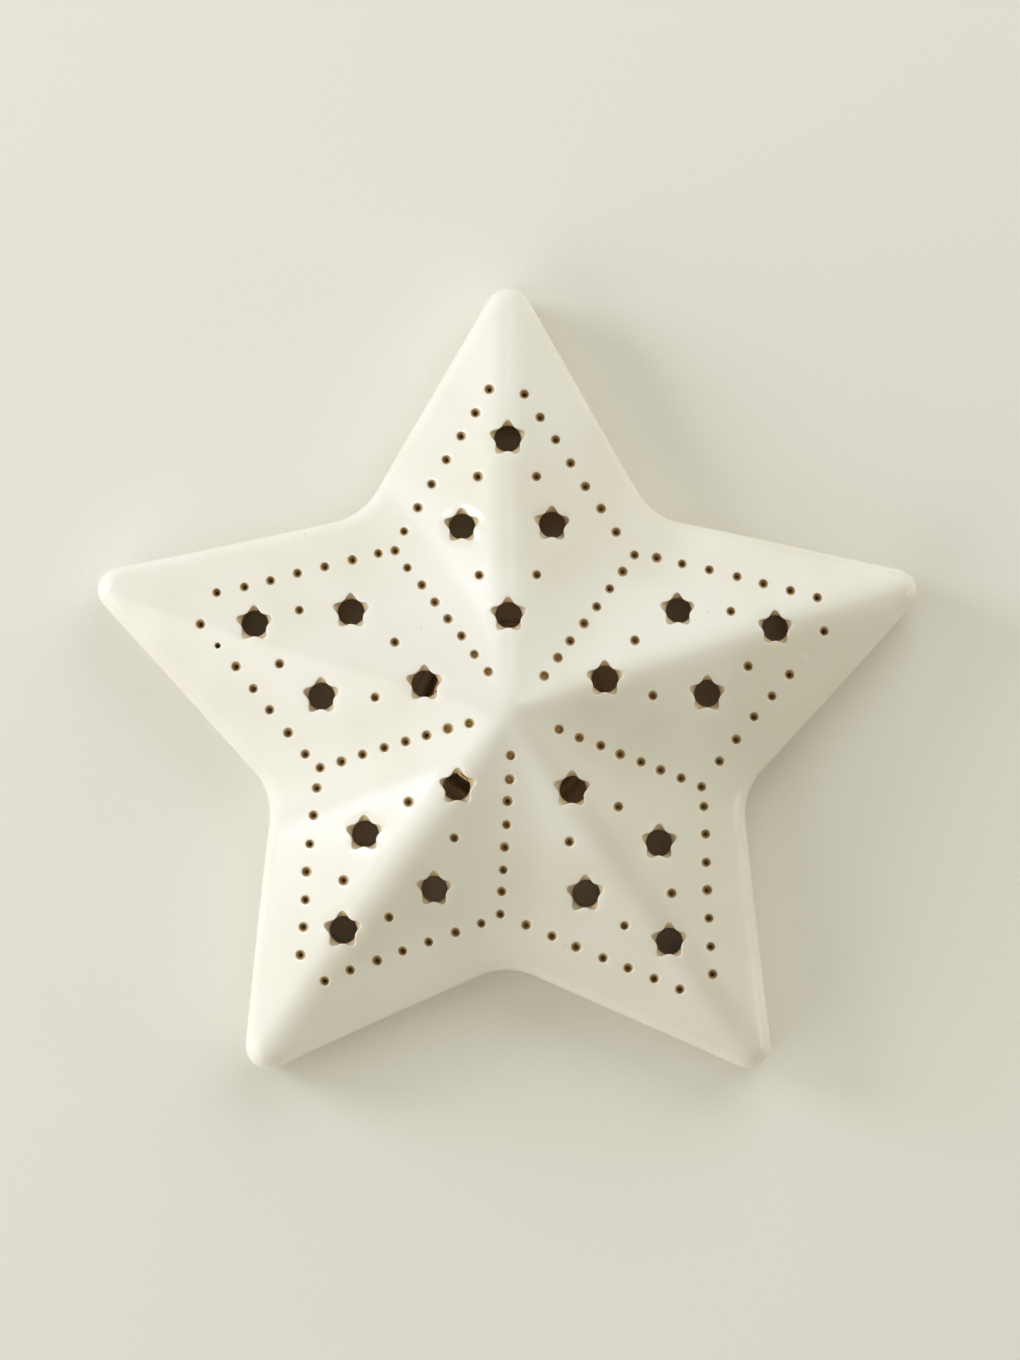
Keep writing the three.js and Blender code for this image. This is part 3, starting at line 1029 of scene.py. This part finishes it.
@dataclass
class StarCover:
    """The hollow pierced star: sloping facets, a rolled shoulder, an upright wall and an open foot."""

    plan: StarPlan
    finish: bpy.types.Material
    node: str = "star_cover"
    wall: float = 4.0
    shoulder_round: float = 6.6
    inner_round: float = 3.0
    inner_tip_fillet: float = 4.0
    foot_round: float = 0.8
    round_steps: int = 9
    outer_spacing: float = 1.35
    inner_spacing: float = 2.6
    outer: Roof = field(init=False)
    inner: Roof = field(init=False)
    holes: list[Hole] = field(init=False)

    def __post_init__(self) -> None:
        """Works out the two faces of the roof and the piercings."""
        self.outer = Roof(self.plan)
        thickness = self.wall * math.hypot(1, self.outer.slope)
        self.inner = Roof(self.plan, ridge=4.0, valley=10.0, below=thickness)
        self.holes = PiercingPattern(self.plan).holes()

    def _shoulder(self, roof: Roof, inset: float, radius: float, fillet: float | None) -> list[np.ndarray]:
        """Returns the loops that roll a roof's edge over into an upright wall.

        Args:
            roof: The roof.
            inset: How far in from the outline the wall stands.
            radius: The rolled edge's radius.
            fillet: The radius of the wall's own tips, or None for the outline's.

        Returns:
            The loops, from the roof's edge to the top of the wall.
        """
        start = math.atan(1 / roof.slope)
        loops = []
        for lean in np.linspace(start, 0, self.round_steps):
            run = radius * (1 - math.cos(lean))
            outline = self.plan.outline(inset + run, None if fillet is None else fillet - run)
            if not loops:
                edge = roof.height(outline)
            loops.append(lifted(outline, edge - radius * (math.sin(start) - math.sin(lean))))
        return loops

    def _foot(self, foot: float) -> list[np.ndarray]:
        """Rounds the foot ring, from the outer wall to the inner one.

        Args:
            foot: The height it stands at.

        Returns:
            Its loops.
        """
        loops = []
        for turn in np.linspace(0, math.pi / 2, 5):
            run, rise = self.foot_round * (1 - math.cos(turn)), self.foot_round * (1 - math.sin(turn))
            loops.append(lifted(self.plan.outline(run), foot + rise))
        for turn in np.linspace(math.pi / 2, 0, 5):
            run, rise = self.foot_round * (1 - math.cos(turn)), self.foot_round * (1 - math.sin(turn))
            loops.append(lifted(self.plan.outline(self.wall - run, self.inner_tip_fillet), foot + rise))
        return loops

    def _sheet(
        self, skin: Skin, roof: Roof, edge: np.ndarray, border: np.ndarray, outer: bool
    ) -> list[np.ndarray]:
        """Adds one face of the roof with openings for the piercings.

        Args:
            skin: The cover's skin.
            roof: The face's heights.
            edge: Vertex numbers of the face's border.
            border: The border in plan.
            outer: True for the outer face.

        Returns:
            Each piercing's loop of vertex numbers on this face.
        """
        pierced = [h for h in self.holes if outer or h.through]
        rings = [h.levels()[0 if outer else -1] for h in pierced]
        loops = [hole.loop(ring) for hole, ring in zip(pierced, rings)]
        regions = [(h.centre, loop, h.reach(r)) for h, loop, r in zip(pierced, loops, rings)]
        spacing = self.outer_spacing if outer else self.inner_spacing
        extra, corners = sheet_triangles(border, regions, spacing)
        glaze = 1.0 if outer else 0.0
        numbers = [skin.add(lifted(loop, roof.height(loop)), glaze) for loop in loops]
        filling = skin.add(lifted(extra, roof.height(extra)), glaze)
        skin.triangles(np.concatenate([edge, *numbers, filling])[corners])
        return numbers

    def _bore(self, skin: Skin, hole: Hole, mouth: np.ndarray, exit_loop: np.ndarray | None) -> None:
        """Adds one piercing's wall.

        Args:
            skin: The cover's skin.
            hole: The piercing.
            mouth: Its loop on the outer face.
            exit_loop: Its loop on the inner face, or None where it doesn't go through.
        """
        levels = hole.levels()[1:] if exit_loop is None else hole.levels()[1:-1]
        previous = mouth
        for ring in levels:
            loop = hole.loop(ring)
            top, bottom = self.outer.height(loop), self.inner.height(loop)
            height = top - ring.sink - ring.share * (top - bottom - ring.sink)
            current = skin.add(lifted(loop, height), ring.glaze)
            skin.strip(previous, current)
            previous = current
        if exit_loop is None:
            middle = hole.centre[None, :]
            skin.fan(previous, skin.add(lifted(middle, self.outer.height(middle) - levels[-1].sink - 0.03)))
        else:
            skin.strip(previous, exit_loop)

    def build(self) -> bpy.types.Object:
        """Makes the cover and sets it on its body.

        Returns:
            The cover.
        """
        low, _ = box_mm(self.node)
        skin = Skin()
        shoulder = self._shoulder(self.outer, 0.0, self.shoulder_round, None)
        hollow = self._shoulder(self.inner, self.wall, self.inner_round, self.inner_tip_fillet)
        outer_edge, wall_top = skin.rings(shoulder)
        foot_loops = self._foot(low.z)
        half = len(foot_loops) // 2
        foot_start, foot_middle = skin.rings(foot_loops[: half - 2], 1.0)
        bare_start, bare_end = skin.rings(foot_loops[half - 2 :], 0.0)
        inner_edge, inner_top = skin.rings(hollow, 0.0)
        for first, second in ((wall_top, foot_start), (foot_middle, bare_start), (bare_end, inner_top)):
            skin.strip(first, second)
        mouths = self._sheet(skin, self.outer, outer_edge, shoulder[0][:, :2], True)
        exits = iter(self._sheet(skin, self.inner, inner_edge, hollow[0][:, :2], False))
        for hole, mouth in zip(self.holes, mouths):
            self._bore(skin, hole, mouth, next(exits) if hole.through else None)
        skin.settle(self.plan)
        cover = skin.to_object("glazed_star_cover", self.finish)
        return stand_in(cover, self.node, "cover")


# ---- The tray ----


@dataclass
class StarTray:
    """The star-shaped saucer: a plate, a lip that the cover drops over, and the tealight's ring."""

    plan: StarPlan
    finish: bpy.types.Material
    node: str = "star_tray"
    inset: float = 1.2
    thickness: float = 4.4
    edge_round: float = 1.4
    lip_inset: float = 4.9
    lip_width: float = 2.6
    lip_height: float = 3.0
    lip_tip_fillet: float = 4.6
    seat_radius: float = 20.6
    seat_width: float = 2.8
    seat_height: float = 4.0
    fillet: float = 1.6

    def _star(self, points: Profile, fillet: float | None = None) -> list[np.ndarray]:
        """Draws star-shaped loops.

        Args:
            points: Each one's inset and height.
            fillet: The tips' radius at the lip, or None for the outline's own.

        Returns:
            The loops.
        """
        loops = []
        for inset, height in points:
            tip = None if fillet is None else max(fillet - (inset - self.lip_inset), 1.2)
            loops.append(lifted(self.plan.outline(inset, tip), height))
        return loops

    def _round(self, points: Profile) -> list[np.ndarray]:
        """Draws round loops whose vertices lie on the same rays as the outline's.

        Args:
            points: Each one's radius and height.

        Returns:
            The loops.
        """
        outline = self.plan.outline(0.0)
        rays = np.arctan2(outline[:, 1], outline[:, 0])
        return [lifted(circle(radius, rays), height) for radius, height in points]

    def build(self) -> bpy.types.Object:
        """Makes the tray and sets it on its body.

        Returns:
            The tray.
        """
        low, _ = box_mm(self.node)
        top, lip_top = low.z + self.thickness, low.z + self.thickness + self.lip_height
        edge, crown = self.edge_round, self.lip_width / 2
        under = rounded((self.inset + edge, low.z + edge), edge, -90, -90)
        over = rounded((self.inset + edge, top - edge), edge, 180, -90)
        inner = self.lip_inset + self.lip_width
        lip = [(self.lip_inset, top)]
        lip += rounded((self.lip_inset + crown, lip_top - crown), crown, 180, -180)
        lip += rounded((inner + self.fillet, top + self.fillet), self.fillet, 180, 90)
        outside = self.seat_radius + self.seat_width
        seat_top, roll = top + self.seat_height, self.seat_width / 2
        seat = rounded((outside + self.fillet, top + self.fillet), self.fillet, -90, -90)
        seat += rounded((outside - roll, seat_top - roll), roll, 0, 180)
        seat += [(self.seat_radius, top + 0.4), (self.seat_radius - 0.4, top)]
        skin = Skin()
        foot = self._round([(outside, low.z)]) + self._star([(self.inset + 2 * edge, low.z)])
        bare_first, bare_last = skin.rings(foot, 0.0)
        glazed = self._star(under + over)
        glazed += self._star(lip, self.lip_tip_fillet) + self._round(seat)
        first, last = skin.rings(glazed)
        skin.strip(bare_last, first)
        skin.fan(bare_first, skin.add(np.array([[0, 0, low.z]]), 0.0))
        skin.fan(last, skin.add(np.array([[0, 0, top]])))
        skin.settle(self.plan)
        tray = skin.to_object("glazed_star_tray", self.finish)
        return stand_in(tray, self.node, "base")


# ---- The tealight ----


@dataclass
class Tealight:
    """A burning tealight: drawn cup, wax with its molten pool, braided wick and its tinplate foot."""

    body: str = "tealight"
    sides: int = 96
    floor_radius: float = 17.6
    skin_thickness: float = 0.3
    rim_round: float = 0.45
    wax_top: float = 13.0
    meniscus: float = 0.7
    sustainer_radius: float = 8.0
    neck_radius: float = 1.45
    wick_radius: float = 0.7
    wick_sides: int = 20
    wick_bend: float = 1.6
    glow_height: float = 27.5
    glow_radius: float = 3.0
    glow_power: float = 0.0028
    glow_colour: str = "#ffcb8c"

    def cup(self, finish: bpy.types.Material) -> bpy.types.Object:
        """Draws the cup with its rolled rim.

        Args:
            finish: Its material.

        Returns:
            The cup.
        """
        low, high = box_mm("tealight_cup")
        floor, rim = self.floor_radius, high.x
        thin, roll = self.skin_thickness, self.rim_round
        wall = rim - 2 * roll
        profile = [(0.0, low.z + 0.5), (8.0, low.z + 0.45), (floor - 3.0, low.z + 0.1)]
        profile += rounded((floor - 0.8, low.z + 0.8), 0.8, -90, 60)
        profile += [(wall, high.z - 2.2 * roll)]
        profile += rounded((rim - roll, high.z - roll), roll, -150, 330)
        profile += [(wall - thin, high.z - 2.2 * roll), (floor - thin - 0.2, low.z + 1.1)]
        profile += [(floor - 1.2, low.z + 0.1 + thin + 0.25)]
        profile += [(8.0, low.z + 0.45 + thin), (0.0, low.z + 0.5 + thin)]
        cup = turned(profile, self.sides).to_object("drawn_cup", finish)
        return stand_in(cup, "tealight_cup", self.body)

    def wax(self, finish: bpy.types.Material) -> bpy.types.Object:
        """Pours the wax: flat-bottomed, dished by its pool, climbing at the cup and the wick.

        Args:
            finish: Its material.

        Returns:
            The wax.
        """
        cup_low, _ = box_mm("tealight_cup")
        low, high = box_mm("tealight_wax")
        bore = self.wick_radius + 0.3
        neck = self.neck_radius + 0.3
        step = low.z + 0.65
        neck_top = cup_low.z + 4.8
        surface = cup_low.z + self.wax_top - self.meniscus
        outline = [(self.sustainer_radius + 0.3, low.z), (high.x - 1.1, low.z), (high.x - 0.9, low.z + 0.3)]
        outline += [(high.x, high.z), (high.x - 0.5, high.z - 0.35)]
        outline += [(high.x - 1.6, surface + 0.12), (14.0, surface), (8.0, surface), (3.0, surface + 0.05)]
        outline += [(bore + 0.5, surface + 0.3), (bore, surface + 0.7), (bore, neck_top), (neck, neck_top)]
        outline += [(neck, step), (self.sustainer_radius + 0.3, step)]
        skin = Skin()
        first, last = skin.rings([lifted(circle(r, turns(self.sides)), z) for r, z in outline])
        skin.strip(last, first)
        wax = skin.to_object("paraffin_fill", finish)
        return stand_in(wax, "tealight_wax", self.body)

    def sustainer(self, finish: bpy.types.Material) -> bpy.types.Object:
        """Presses the tinplate disc with its crimped neck.

        Args:
            finish: Its material.

        Returns:
            The sustainer.
        """
        low, high = box_mm("wick_sustainer")
        plate, bore = low.z + 0.35, self.wick_radius + 0.15
        outline = [(bore, low.z), (self.sustainer_radius - 0.1, low.z)]
        outline += [(self.sustainer_radius, low.z + 0.12), (self.sustainer_radius - 0.1, plate)]
        outline += [(self.neck_radius + 0.4, plate)]
        outline += [(self.neck_radius, plate + 0.4), (self.neck_radius - 0.2, high.z - 0.4)]
        outline += [(self.neck_radius - 0.25, high.z), (bore, high.z - 0.1)]
        skin = Skin()
        first, last = skin.rings([lifted(circle(r, turns(self.sides // 2)), z) for r, z in outline])
        skin.strip(last, first)
        foot = skin.to_object("wick_foot", finish)
        return stand_in(foot, "wick_sustainer", self.body)

    def wick(self, finish: bpy.types.Material) -> bpy.types.Object:
        """Braids the wick, twisted and curled over at its burnt tip.

        Args:
            finish: Its material.

        Returns:
            The wick.
        """
        low, high = box_mm("tealight_wick")
        skin = Skin()
        loops = []
        for share in np.linspace(0, 1, 40):
            height = low.z + share * (high.z - low.z - 0.2)
            curl = max(0.0, (share - 0.72) / 0.28)
            lobes = 1 + 0.1 * np.cos(3 * (turns(self.wick_sides) + share * 14))
            radius = self.wick_radius * (1 - 0.35 * curl) * 0.92
            loop = radius * lobes[:, None] * circle(1.0, turns(self.wick_sides))
            loops.append(lifted(loop + (self.wick_bend * curl * curl, 0), height))
        first, last = skin.rings(loops)
        skin.fan(first, skin.add(np.array([[0, 0, low.z]])))
        skin.fan(last, skin.add(np.array([[self.wick_bend, 0, high.z]])))
        wick = skin.to_object("braided_wick", finish)
        return stand_in(wick, "tealight_wick", self.body)

    def glow(self) -> bpy.types.Object:
        """Lights the flame, which moves with the tealight.

        Returns:
            The light.
        """
        lamp = bpy.data.lights.new("flame_light", "POINT")
        lamp.energy = self.glow_power
        lamp.color = linear(self.glow_colour)[:3]
        lamp.shadow_soft_size = self.glow_radius * MM
        light = bpy.data.objects.new("flame_light", lamp)
        light.location = (0, 0, self.glow_height * MM)
        bpy.context.scene.collection.objects.link(light)
        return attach(light, self.body)


# ---- The studio ----


@dataclass(frozen=True)
class Softbox:
    """One soft light: where it stands, how big it is and how bright."""

    name: str
    azimuth: float  # anticlockwise from +X, in degrees
    elevation: float
    distance: float
    width: float
    power: float
    colour: tuple[float, float, float]  # linear

    def build(self) -> bpy.types.Object:
        """Makes the light and turns it to the star.

        Returns:
            The light.
        """
        lamp = bpy.data.lights.new(self.name, "AREA")
        lamp.shape = "SQUARE"
        lamp.size = self.width
        lamp.energy = self.power
        lamp.color = self.colour
        light = bpy.data.objects.new(self.name, lamp)
        around, up = math.radians(self.azimuth), math.radians(self.elevation)
        aim = Vector((math.cos(around) * math.cos(up), math.sin(around) * math.cos(up), math.sin(up)))
        light.location = aim * self.distance
        light.rotation_euler = aim.to_track_quat("Z", "Y").to_euler()
        light.visible_camera = False
        bpy.context.scene.collection.objects.link(light)
        return light


@dataclass(frozen=True)
class Studio:
    """A plain pale floor, soft daylight from the left and a camera nearly overhead."""

    lights: tuple[Softbox, ...] = (
        Softbox("window", 160, 20, 1.5, 0.6, 11.1, (0.8, 0.83, 1.0)),
        Softbox("window_low_end", 210, 18, 1.5, 1.4, 10.6, (0.95, 0.99, 1.0)),
        Softbox("wall_bounce", 60, 30, 1.5, 1.6, 11.2, (0.9, 0.95, 1.0)),
        Softbox("table_card", -5, 10, 1.5, 0.5, 1.6, (1.0, 0.97, 0.9)),
    )
    sky: tuple[float, float, float] = (1.0, 0.93, 0.74)
    sky_strength: float = 0.38
    floor_radius: float = 4.0
    camera_distance: float = 1.6
    camera_azimuth: float = -16.4
    camera_elevation: float = 87.36
    aim: tuple[float, float, float] = (0.55, 8.8, 12.0)
    field_height: float = 333.3

    def floor(self, finish: bpy.types.Material) -> bpy.types.Object:
        """Lays the floor just under the tray.

        Args:
            finish: Its material.

        Returns:
            The floor.
        """
        skin = Skin()
        rings = [lifted(circle(r / MM, turns(64)), -0.02) for r in (0.4, 1.2, self.floor_radius)]
        first, _ = skin.rings(rings)
        skin.fan(first, skin.add(np.array([[0, 0, -0.02]])))
        floor = skin.to_object("studio_floor", finish)
        return floor

    def light(self) -> None:
        """Sets the lights and the pale surroundings."""
        for softbox in self.lights:
            softbox.build()
        world = bpy.data.worlds.new("pale_room")
        world.use_nodes = True
        backdrop = world.node_tree.nodes["Background"]
        backdrop.inputs["Color"].default_value = (*self.sky, 1.0)
        backdrop.inputs["Strength"].default_value = self.sky_strength
        bpy.context.scene.world = world
        bpy.context.scene.view_settings.view_transform = "Standard"

    def camera(self) -> bpy.types.Object:
        """Sets the camera over the star, with +Y up in its picture.

        Returns:
            The camera.
        """
        lens = bpy.data.cameras.new("overhead_camera")
        lens.sensor_width = 36.0
        lens.lens = lens.sensor_width * self.camera_distance / (self.field_height * MM)
        camera = bpy.data.objects.new("overhead_camera", lens)
        around, up = math.radians(self.camera_azimuth), math.radians(self.camera_elevation)
        back = Vector((math.sin(around) * math.cos(up), -math.cos(around) * math.cos(up), math.sin(up)))
        camera.location = Vector(self.aim) * MM + back * self.camera_distance
        right = Vector((0, 1, 0)).cross(back).normalized()
        above = back.cross(right)
        camera.rotation_mode = "QUATERNION"
        camera.rotation_quaternion = Matrix((right, above, back)).transposed().to_quaternion()
        bpy.context.scene.collection.objects.link(camera)
        bpy.context.scene.camera = camera
        return camera


def main() -> None:
    """Builds the studio and the holder, piece by piece."""
    logging.basicConfig(level=logging.INFO, format="%(name)s: %(message)s")
    studio = Studio()
    studio.camera()
    studio.light()
    studio.floor(PaintedBoard().material())
    plan = StarPlan()
    ware = GlazedEarthenware().material()
    tealight = Tealight()
    pieces = [
        StarCover(plan, ware).build(),
        StarTray(plan, ware).build(),
        tealight.cup(DrawnAluminium().material()),
        tealight.wax(ParaffinWax().material()),
        tealight.sustainer(Tinplate().material()),
        tealight.wick(BraidedCotton().material()),
        tealight.glow(),
    ]
    for piece in pieces:
        size = "light" if piece.type == "LIGHT" else f"{len(piece.data.polygons)} faces"
        log.info("%s: %s", piece.name, size)


if __name__ == "__main__":
    main()
